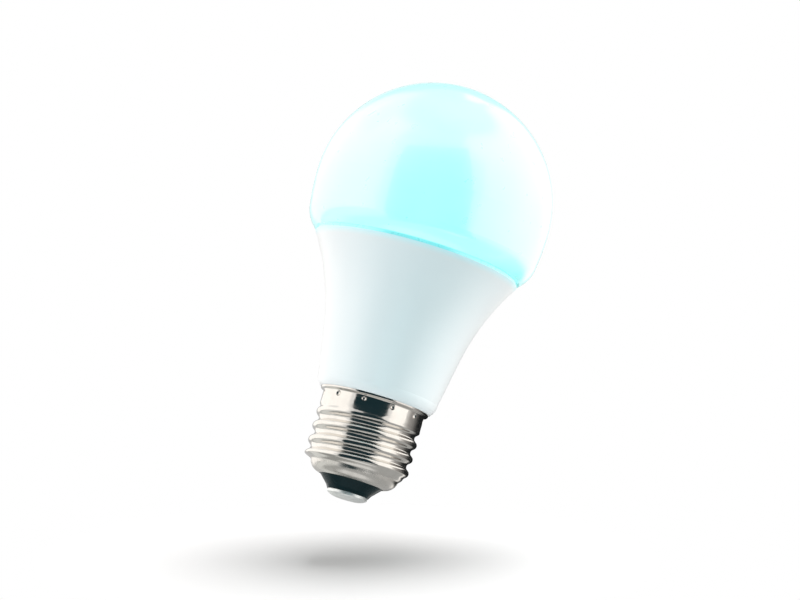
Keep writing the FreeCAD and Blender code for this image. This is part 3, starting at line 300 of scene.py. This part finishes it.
def nickel():
    """Polished nickel plate with fine rolling lines, duller on the thread and the wavy bottom."""
    finish = Finish("nickel", (0.80, 0.77, 0.73), 0.12, Metallic=1.0)
    tree = finish.tree
    finish.mottle((0.83, 0.80, 0.76), (0.76, 0.73, 0.69), 3.0)
    height = axes(tree)[2]
    bowl = step(tree, height, BOWL_TOP, BOWL_TOP - BOWL_FADE)
    lines = noise(tree, 0.5, 2.0, (0.15, 0.15, 1.0))
    waves = noise(tree, 2.4, 2.0)
    thread = band(tree, height, THREAD_FOOT, THREAD_TOP, 0.8)
    polish = spread(tree, lines, 0.06, 0.15)
    polish = calc(tree, "ADD", polish, calc(tree, "MULTIPLY", thread, 0.045))
    dull = spread(tree, waves, 0.16, 0.40)
    finish.set("Roughness", calc(tree, "MAXIMUM", polish, calc(tree, "MULTIPLY", dull, bowl)))
    relief = calc(tree, "MULTIPLY", waves, calc(tree, "MULTIPLY", bowl, 24.0))
    finish.bump(calc(tree, "ADD", relief, lines), 0.002)
    return finish.material


def black_glass():
    """Dull black glass or moulded insulator, a little uneven."""
    finish = Finish("black_glass", (0.003, 0.014, 0.017), 0.2, Specular_IOR_Level=0.13)
    finish.rough(0.16, 0.3, 1.5)
    finish.bump(noise(finish.tree, 1.1, 2.0), 0.01)
    return finish.material


def contact_plate():
    """Satin plating on the pressed contact."""
    finish = Finish("contact_plate", (0.90, 0.91, 0.90), 0.45, Metallic=0.85)
    finish.mottle((0.96, 0.97, 0.96), (0.86, 0.87, 0.86), 1.2)
    finish.rough(0.38, 0.52, 0.8)
    finish.bump(noise(finish.tree, 0.5), 0.004)
    return finish.material


# ---------------------------------------------------------------- inside


def metal(name, colour, low, high, grain_mm=0.6, stretch=(1.0, 1.0, 1.0)):
    """Bare or plated metal, rough between low and high."""
    finish = Finish(name, colour, low, Metallic=1.0)
    finish.rough(low, high, grain_mm, stretch)
    finish.bump(noise(finish.tree, grain_mm, 3.0, stretch), 0.004)
    return finish.material


def moulded(name, colour, second, rough, grain_mm=0.4):
    """Matt moulded plastic, ceramic or epoxy with a fine grain."""
    finish = Finish(name, colour, rough)
    finish.mottle(colour, second, grain_mm * 6)
    finish.rough(rough * 0.85, rough * 1.15, grain_mm * 3)
    finish.bump(noise(finish.tree, grain_mm), 0.006)
    return finish.material


def circuit(name, mask, copper, step_mm):
    """Solder mask over copper tracks."""
    finish = Finish(name, mask, 0.35)
    tree = finish.tree
    tracks = tree.nodes.new("ShaderNodeTexBrick")
    turned = tree.nodes.new("ShaderNodeMapping")
    turned.inputs["Rotation"].default_value = (math.pi / 2, 0.0, 0.0)
    tree.links.new(place(tree), turned.inputs["Vector"])
    tree.links.new(turned.outputs["Vector"], tracks.inputs["Vector"])
    tracks.inputs["Scale"].default_value = 1.0 / MM
    tracks.inputs["Mortar Size"].default_value = 0.12
    tracks.inputs["Brick Width"].default_value = step_mm * 3
    tracks.inputs["Row Height"].default_value = step_mm
    finish.set("Base Color", mix(tree, tracks.outputs["Fac"], mask, copper))
    finish.rough(0.3, 0.42, 0.8)
    finish.bump(tracks.outputs["Fac"], 0.03)
    return finish.material


MASK_WHITE = (0.82, 0.83, 0.82)
PACKAGE_WHITE = (0.85, 0.84, 0.80)
PHOSPHOR = (0.85, 0.66, 0.12)
CERAMIC = (0.35, 0.42, 0.36)
TINNED = (0.70, 0.70, 0.68)


def light_board_mask():
    """White solder mask with ring-shaped tracks under it."""
    finish = Finish("light_board_mask", MASK_WHITE, 0.4)
    tree = finish.tree
    x, y, _ = axes(tree)
    radius = from_axis(tree, x, y)
    track = band(tree, calc(tree, "PINGPONG", radius, 2.6), 1.6, 2.4, 0.06)
    finish.set("Base Color", mix(tree, track, MASK_WHITE, (0.74, 0.76, 0.75)))
    finish.rough(0.36, 0.45, 1.0)
    finish.bump(track, 0.03)
    return finish.material


def diode_package(name, circle, count, window, glow):
    """White packages on a ring, each with a round window of phosphor that shines."""
    finish = Finish(name, PACKAGE_WHITE, 0.35, Emission_Strength=1.0)
    tree = finish.tree
    x, y, _ = axes(tree)
    radius = from_axis(tree, x, y)
    place_in_ring = calc(tree, "MULTIPLY", calc(tree, "ARCTAN2", y, x), count / (2 * math.pi))
    spacing = 2 * math.pi * circle / count
    along = calc(tree, "MULTIPLY", calc(tree, "WRAP", place_in_ring, 0.5, -0.5), spacing)
    out = calc(tree, "SUBTRACT", radius, circle)
    lit = step(tree, from_axis(tree, along, out), window + 0.08, window - 0.08)
    finish.set("Base Color", mix(tree, lit, PACKAGE_WHITE, PHOSPHOR))
    finish.set("Emission Color", mix(tree, lit, UNLIT, glow))
    finish.rough(0.3, 0.4, 0.5)
    return finish.material


def can_sleeve(name, colour, crown_foot):
    """Capacitor in a printed film, with its bare aluminium crown."""
    finish = Finish(name, colour, 0.3)
    tree = finish.tree
    x, _, z = axes(tree)
    crown = step(tree, z, crown_foot - 0.05, crown_foot + 0.05)
    stripe = band(tree, x, 1.2, 2.6, 0.05)
    film = mix(tree, stripe, colour, (0.62, 0.64, 0.66))
    finish.set("Base Color", mix(tree, crown, film, (0.75, 0.76, 0.77)))
    finish.set("Metallic", crown)
    finish.rough(0.24, 0.34, 1.0)
    finish.bump(noise(tree, 1.2), 0.01)
    return finish.material


def wound(name, colour, pitch_mm):
    """Enamelled wire wound in level turns."""
    finish = Finish(name, colour, 0.3, Metallic=0.9)
    tree = finish.tree
    turns = calc(tree, "PINGPONG", axes(tree)[2], pitch_mm / 2)
    round_turns = step(tree, turns, 0.0, pitch_mm / 2)
    finish.mottle(colour, tuple(0.7 * part for part in colour), 0.8)
    finish.rough(0.25, 0.38, 0.6)
    finish.bump(round_turns, 0.12)
    return finish.material


def chip_ends(name, body, shift, column):
    """Ceramic chips in two columns, with tinned ends."""
    finish = Finish(name, body, 0.4)
    tree = finish.tree
    x = calc(tree, "ABSOLUTE", calc(tree, "ADD", axes(tree)[0], shift))
    ends = step(tree, calc(tree, "ABSOLUTE", calc(tree, "SUBTRACT", x, column)), 0.62, 0.68)
    finish.set("Base Color", mix(tree, ends, body, TINNED))
    finish.set("Metallic", ends)
    finish.rough(0.3, 0.48, 0.5)
    return finish.material


def banded_resistor():
    """Grey-green ceramic with four colour rings."""
    finish = Finish("banded_resistor", CERAMIC, 0.4)
    tree = finish.tree
    height = axes(tree)[2]
    brown, black, gold = (0.30, 0.10, 0.03), (0.02, 0.02, 0.02), (0.60, 0.42, 0.10)
    half_width = 0.35
    colour = CERAMIC
    for middle, paint in ((13.6, brown), (14.9, black), (16.2, black), (18.2, gold)):
        ring = band(tree, height, middle - half_width, middle + half_width, 0.04)
        colour = mix(tree, ring, colour, paint)
    finish.set("Base Color", colour)
    finish.rough(0.34, 0.46, 0.6)
    return finish.material


def inner_finishes():
    """The material of every node inside the shells."""
    ferrite = moulded("ferrite", (0.035, 0.035, 0.04), (0.05, 0.05, 0.055), 0.55)
    epoxy = moulded("black_epoxy", (0.016, 0.016, 0.018), (0.026, 0.026, 0.028), 0.45, 0.2)
    gold = metal("gold_plate", (0.90, 0.68, 0.32), 0.18, 0.3, 0.3)
    tin = metal("tin", (0.72, 0.72, 0.71), 0.25, 0.4, 0.4)
    return {
        "heat_sink_cup": metal("aluminium", (0.78, 0.79, 0.80), 0.28, 0.45, 0.8, (1, 1, 0.1)),
        "thermal_pad": moulded("thermal_pad", (0.35, 0.40, 0.46), (0.30, 0.35, 0.42), 0.8),
        "led_board": light_board_mask(),
        "white_leds": diode_package("white_diodes", 16.0, 12, 1.05, (0.55, 0.60, 0.50)),
        "colour_leds": diode_package("colour_diodes", 10.6, 6, 1.35, (0.10, 0.90, 0.85)),
        "board_screws": metal("zinc_steel", (0.60, 0.60, 0.58), 0.25, 0.4),
        "board_socket": moulded("nylon", (0.80, 0.77, 0.68), (0.76, 0.73, 0.63), 0.45),
        "pin_strip": epoxy,
        "strip_pins": gold,
        "driver_board": circuit("driver_mask", (0.02, 0.16, 0.07), (0.05, 0.27, 0.12), 1.5),
        "insulation_sleeve": moulded("film", (0.70, 0.68, 0.60), (0.64, 0.61, 0.52), 0.3),
        "input_capacitor": can_sleeve("input_can", (0.02, 0.03, 0.09), 25.1),
        "output_capacitor": can_sleeve("output_can", (0.03, 0.09, 0.05), 41.6),
        "film_capacitor": moulded("film_box", (0.72, 0.50, 0.06), (0.66, 0.45, 0.05), 0.4),
        "surge_varistor": moulded("varistor_coat", (0.03, 0.10, 0.42), (0.02, 0.08, 0.36), 0.35),
        "bridge_rectifier": epoxy,
        "flyback_diode": epoxy,
        "transformer_core": ferrite,
        "transformer_bobbin": moulded("bobbin", (0.10, 0.08, 0.07), (0.08, 0.06, 0.05), 0.4),
        "transformer_winding": wound("transformer_wire", (0.72, 0.30, 0.10), 0.4),
        "choke_core": ferrite,
        "choke_winding": wound("choke_wire", (0.70, 0.28, 0.09), 0.35),
        "driver_chip": epoxy,
        "colour_chip": epoxy,
        "regulator_chip": epoxy,
        "chip_resistors": chip_ends("chip_resistor", (0.03, 0.03, 0.03), 0.5, 9.1),
        "chip_capacitors": chip_ends("chip_capacitor", (0.50, 0.38, 0.25), 0.3, 1.5),
        "radio_board": circuit("radio_mask", (0.02, 0.05, 0.18), (0.04, 0.10, 0.30), 0.9),
        "radio_shield": tin,
        "radio_chip": epoxy,
        "radio_pins": gold,
        "radio_antenna": gold,
        "fusible_resistor": banded_resistor(),
        "resistor_sleeve": moulded("shrink_sleeve", (0.03, 0.03, 0.03), (0.05, 0.05, 0.05), 0.5),
        "live_lead": tin,
        "neutral_lead": tin,
    }


def dress():
    """Give every CAD node its material."""
    finishes = inner_finishes()
    finishes["diffuser_dome"] = milky_dome()
    finishes["dome_seal"] = glowing_seal()
    finishes["housing_shell"] = white_housing()
    finishes["screw_shell"] = nickel()
    finishes["cap_insulator"] = black_glass()
    finishes["centre_contact"] = contact_plate()
    for name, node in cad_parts.items():
        for slot in node.material_slots:
            slot.material = finishes[name]


# ---------------------------------------------------------------- studio

SCREEN = (1.12, 1.10, 1.065)
SCREEN_BORDER = (0.80, 0.80, 0.79)
DULL_SCREEN = (0.84, 0.84, 0.83)
HIGH_GREY = (0.44, 0.445, 0.445)
FRONT_GREY = (0.56, 0.56, 0.56)
BACK_GREY = (0.5, 0.5, 0.5)
BACK_DARK = (0.20, 0.22, 0.22)
GAP_DARK = (0.010, 0.026, 0.032)
GROUND_NEAR = (0.41, 0.42, 0.41)
GROUND_PALE = (0.66, 0.67, 0.65)
GROUND_FAR = (0.30, 0.305, 0.295)
GROUND_RIGHT = (0.36, 0.365, 0.36)
GROUND_UNDER = (0.66, 0.665, 0.655)
WORLD_STRENGTH = 1.15


class Studio:
    """What the bulb mirrors, in two angles in degrees.

    turn is 0 in front and grows to the right, and rise is 0 level and grows upwards.
    """

    def __init__(self, tree):
        split = tree.nodes.new("ShaderNodeSeparateXYZ")
        tree.links.new(tree.nodes.new("ShaderNodeTexCoord").outputs["Generated"], split.inputs[0])
        x, y, z = split.outputs
        self.tree = tree
        self.turn = turn_of(tree, x, y)
        self.rise = calc(tree, "DEGREES", calc(tree, "ARCSINE", z))
        self.colour = SCREEN

    def turned(self, low, high):
        """A soft edge where turn goes from low to high."""
        return step(self.tree, self.turn, low, high)

    def risen(self, low, high):
        """A soft edge where rise goes from low to high."""
        return step(self.tree, self.rise, low, high)

    def patch(self, turns, rises, soft):
        """1 inside a soft-edged rectangle of turns and rises."""
        across = band(self.tree, self.turn, *turns, soft)
        return product(self.tree, across, band(self.tree, self.rise, *rises, soft))

    def paint(self, share, colour):
        """Lay a colour over what is there, where share is 1."""
        self.colour = mix(self.tree, share, self.colour, colour)

    def overhead(self):
        """Grey above the screens. It starts higher on the right and lower on the far left."""
        tree = self.tree
        right = product(tree, self.turned(14.0, 30.0), self.turned(165.0, 150.0))
        far_left = self.turned(-90.0, -120.0)
        over = calc(tree, "SUBTRACT", self.rise, calc(tree, "MULTIPLY", right, 10.0))
        over = calc(tree, "ADD", over, calc(tree, "MULTIPLY", far_left, 9.0))
        self.paint(step(tree, over, 50.0, 60.0), HIGH_GREY)
        self.paint(self.patch((-150, -96), (32, 58), 6.0), DULL_SCREEN)
        self.paint(self.patch((-58, 18), (32, 60), 6.0), FRONT_GREY)

    def back(self):
        """Grey behind the bulb, darker higher up, with two bright streaks."""
        tree = self.tree
        low = calc(tree, "MAXIMUM", self.turned(158.0, 164.0), self.turned(-154.0, -162.0))
        self.paint(product(tree, low, self.risen(32.0, 24.0)), BACK_GREY)
        high = calc(tree, "MAXIMUM", self.turned(162.0, 170.0), self.turned(-146.0, -158.0))
        self.paint(product(tree, high, band(tree, self.rise, 26.0, 50.0, 4.0)), BACK_DARK)
        self.paint(self.patch((-138, -131), (34, 46), 4.0), (1.15, 1.15, 1.15))
        self.paint(self.patch((166, 178), (52, 64), 4.0), (1.4, 1.4, 1.4))

    def horizon(self):
        """Share of ground: sharp on the left, 19 degrees lower in front, and soft on the right."""
        tree = self.tree
        front = product(tree, self.turned(-60.0, -40.0), self.turned(50.0, 36.0))
        below = calc(tree, "ADD", self.rise, calc(tree, "MULTIPLY", front, 19.0))
        sharp = step(tree, below, -17.0, -21.0)
        right = product(tree, self.turned(42.0, 60.0), self.turned(150.0, 135.0))
        change = calc(tree, "SUBTRACT", self.risen(3.0, -27.0), sharp)
        return calc(tree, "ADD", sharp, calc(tree, "MULTIPLY", right, change))

    def ground(self):
        """Grey ground in rings that differ in brightness, and its own grey on the right."""
        tree = self.tree
        colour = mix(tree, self.risen(-22.0, -26.0), GROUND_NEAR, GROUND_PALE)
        colour = mix(tree, self.risen(-38.0, -46.0), colour, GROUND_FAR)
        colour = mix(tree, self.turned(-62.0, -44.0), colour, GROUND_RIGHT)
        colour = mix(tree, self.risen(-62.0, -70.0), colour, GROUND_UNDER)
        self.paint(self.horizon(), colour)

    def gap(self):
        """The dark opening between the screens in front, with a grey border and slanting edges."""
        tree = self.tree
        self.paint(self.patch((-54, 44), (-36, 40), 3.0), SCREEN_BORDER)
        low_part = calc(tree, "MULTIPLY", calc(tree, "MINIMUM", self.rise, 0.0), 0.45)
        slant = calc(tree, "ADD", self.turn, calc(tree, "MULTIPLY", self.rise, 0.25))
        slant = calc(tree, "ADD", slant, low_part)
        top = calc(tree, "SUBTRACT", self.rise, calc(tree, "MULTIPLY", self.turn, 0.22))
        across = product(tree, self.turned(-45.5, -42.5), step(tree, slant, 38.5, 34.5))
        self.paint(product(tree, across, band(tree, top, -38.0, 45.0, 2.0)), GAP_DARK)

    def painted(self):
        """The whole studio's colour."""
        self.overhead()
        self.back()
        self.ground()
        self.gap()
        return self.colour


def studio_world():
    """The studio for light and reflections, with a plain white backdrop."""
    world = bpy.data.worlds.new("studio")
    bpy.context.scene.world = world
    tree = clear_tree(world)
    light = tree.nodes.new("ShaderNodeBackground")
    feed(tree, Studio(tree).painted(), light.inputs["Color"])
    light.inputs["Strength"].default_value = WORLD_STRENGTH
    backdrop = tree.nodes.new("ShaderNodeBackground")
    backdrop.inputs["Color"].default_value = rgba((1.0, 1.0, 1.0))
    seen = tree.nodes.new("ShaderNodeLightPath").outputs["Is Camera Ray"]
    blend_out(tree, seen, light, backdrop, "ShaderNodeOutputWorld")


# ---------------------------------------------------------------- camera, floor and lamps

PICTURE_WIDTH = 800
SENSOR_WIDTH = 36.0
CAMERA_DISTANCE = 0.7
CAMERA_BELOW = math.radians(8.95)
CAMERA_ROLL = math.radians(16.30)
PIXELS_PER_MM = 4.02
AIM = Vector((0.0, 0.0, 53.5 * MM))
PAN_RIGHT = -1.53 * MM
PAN_UP = -1.69 * MM


def camera_axes():
    """The camera's right, up and forward directions in the row frame."""
    sine, cosine = math.sin(CAMERA_BELOW), math.cos(CAMERA_BELOW)
    forward = Vector((0, cosine, sine))
    right = Vector((1, 0, 0))
    up = Vector((0, -sine, cosine))
    roll_c, roll_s = math.cos(CAMERA_ROLL), math.sin(CAMERA_ROLL)
    return roll_c * right + roll_s * up, -roll_s * right + roll_c * up, forward


def place_camera():
    """The photo's viewpoint, from a little below, with the bulb leaning to the right."""
    right, up, forward = camera_axes()
    data = bpy.data.cameras.new("camera")
    data.sensor_width = SENSOR_WIDTH
    data.lens = PIXELS_PER_MM * SENSOR_WIDTH * CAMERA_DISTANCE / MM / PICTURE_WIDTH
    data.clip_start, data.clip_end = 0.05, 10.0
    camera = add_object("camera", data)
    aim = AIM + PAN_RIGHT * right + PAN_UP * up
    turn = Matrix((right, up, -forward)).transposed().to_4x4()
    camera.matrix_world = Matrix.Translation(aim - CAMERA_DISTANCE * forward) @ turn
    bpy.context.scene.camera = camera


FLOOR_TILT = math.radians(6.0)
FLOOR_DROP = 14.7 * MM
FLOOR_RADIUS = 80 * MM


def facing(direction):
    """A rotation that turns +Z to a direction."""
    return direction.to_track_quat("Z", "Y").to_matrix().to_4x4()


def floor_material():
    """Plain matt white that fades out at the disc's edge, and is clear from underneath."""
    material = bpy.data.materials.new("floor")
    tree = clear_tree(material)
    matt = tree.nodes.new("ShaderNodeBsdfDiffuse")
    matt.inputs["Color"].default_value = rgba((0.55, 0.54, 0.54))
    clear = tree.nodes.new("ShaderNodeBsdfTransparent")
    reach = tree.nodes.new("ShaderNodeVectorMath")
    reach.operation = "LENGTH"
    tree.links.new(place(tree), reach.inputs[0])
    fade = step(tree, reach.outputs["Value"], 0.65 * FLOOR_RADIUS, 0.98 * FLOOR_RADIUS)
    underneath = tree.nodes.new("ShaderNodeNewGeometry").outputs["Backfacing"]
    fade = calc(tree, "MAXIMUM", fade, underneath)
    blend_out(tree, fade, matt, clear, "ShaderNodeOutputMaterial")
    return material


def floor_normal():
    """The floor's upward direction, level in the picture."""
    _, up, forward = camera_axes()
    return math.cos(FLOOR_TILT) * up - math.sin(FLOOR_TILT) * forward


def floor():
    """A small pale disc under the floating bulb."""
    steps = 96
    turns = [2 * math.pi * index / steps for index in range(steps)]
    corners = [(FLOOR_RADIUS * math.cos(t), FLOOR_RADIUS * math.sin(t), 0.0) for t in turns]
    mesh = bpy.data.meshes.new("floor")
    mesh.from_pydata(corners, [], [tuple(range(steps))])
    mesh.materials.append(floor_material())
    disc = add_object("floor", mesh)
    normal = floor_normal()
    disc.matrix_world = Matrix.Translation(-FLOOR_DROP * normal) @ facing(normal)
    disc.visible_glossy = False
    return disc


FLAG_RADIUS = 75 * MM
FLAG_TOP, FLAG_FOOT = 64 * MM, -16 * MM
FLAG_NEAR, FLAG_FAR = 77.0, 181.0


def flag_material():
    """Cloth that is grey at the flag's near edge and black behind, clear at its top and foot."""
    material = bpy.data.materials.new("flag")
    tree = clear_tree(material)
    x, y, z = axes(tree)
    turn = turn_of(tree, x, y)
    cloth = tree.nodes.new("ShaderNodeEmission")
    grey = mix(tree, step(tree, turn, FLAG_NEAR, 91.0), (0.74, 0.73, 0.71), (0.34, 0.33, 0.32))
    grey = mix(tree, step(tree, turn, 86.0, 126.0), grey, (0.012, 0.014, 0.015))
    feed(tree, grey, cloth.inputs["Color"])
    clear = tree.nodes.new("ShaderNodeBsdfTransparent")
    soft_ends = band(tree, z, -9.0, 53.0, 8.0)
    blend_out(tree, soft_ends, clear, cloth, "ShaderNodeOutputMaterial")
    return material


def flag():
    """A curved dark flag behind the cap on the right, seen only in its mirror finish."""
    steps = 40
    corners, faces = [], []
    for index in range(steps + 1):
        turn = math.radians(FLAG_NEAR + (FLAG_FAR - FLAG_NEAR) * index / steps)
        x, y = FLAG_RADIUS * math.sin(turn), -FLAG_RADIUS * math.cos(turn)
        corners += [(x, y, FLAG_FOOT), (x, y, FLAG_TOP)]
    for index in range(steps):
        low = 2 * index
        faces.append((low, low + 2, low + 3, low + 1))
    mesh = bpy.data.meshes.new("flag")
    mesh.from_pydata(corners, [], faces)
    mesh.materials.append(flag_material())
    cloth = add_object("flag", mesh)
    cloth.visible_camera = False
    cloth.visible_diffuse = False
    cloth.visible_shadow = False


WHITE_LIGHT = (1.0, 1.0, 1.0)
KEY_DISTANCE = 0.9
KEY_LEAN = math.radians(13.0)
FILL_DISTANCE, FILL_SIZE = 0.6, 0.35


def lamp(name, toward, distance, size, power, colour):
    """A square lamp that lights the bulb without showing in its gloss."""
    data = bpy.data.lights.new(name, "AREA")
    data.size = size
    data.energy = power
    data.color = colour
    light = add_object(name, data)
    light.matrix_world = Matrix.Translation(AIM + distance * toward) @ facing(toward)
    light.visible_glossy = False
    light.visible_camera = False
    return light


def fill(name, toward, power, colour):
    """A smaller lamp that lifts one side."""
    lamp(name, toward.normalized(), FILL_DISTANCE, FILL_SIZE, power, colour)


def lamps(disc):
    """A key lamp above the bulb, another that lights only the floor, and three fills."""
    right, up, forward = camera_axes()
    above = math.sin(KEY_LEAN) * right + math.cos(KEY_LEAN) * up + 0.16 * forward
    above.normalize()
    lamp("key", above, KEY_DISTANCE, 0.5, 6.0, WHITE_LIGHT)
    floor_key = lamp("floor_key", above, KEY_DISTANCE, 0.62, 8.6, WHITE_LIGHT)
    lit = bpy.data.collections.new("lit_by_floor_key")
    lit.objects.link(disc)
    floor_key.light_linking.receiver_collection = lit
    fill("front_fill", -forward, 1.20, (0.57, 1.0, 1.08))
    fill("left_fill", -right - 0.35 * forward, 1.15, (1.0, 0.88, 0.87))
    fill("right_fill", right + 0.15 * forward, 1.25, WHITE_LIGHT)


def view_settings():
    """Plain colours, without a film look."""
    view = bpy.context.scene.view_settings
    view.view_transform = "Standard"
    view.look = "None"


dress()
studio_world()
place_camera()
lamps(floor())
flag()
view_settings()
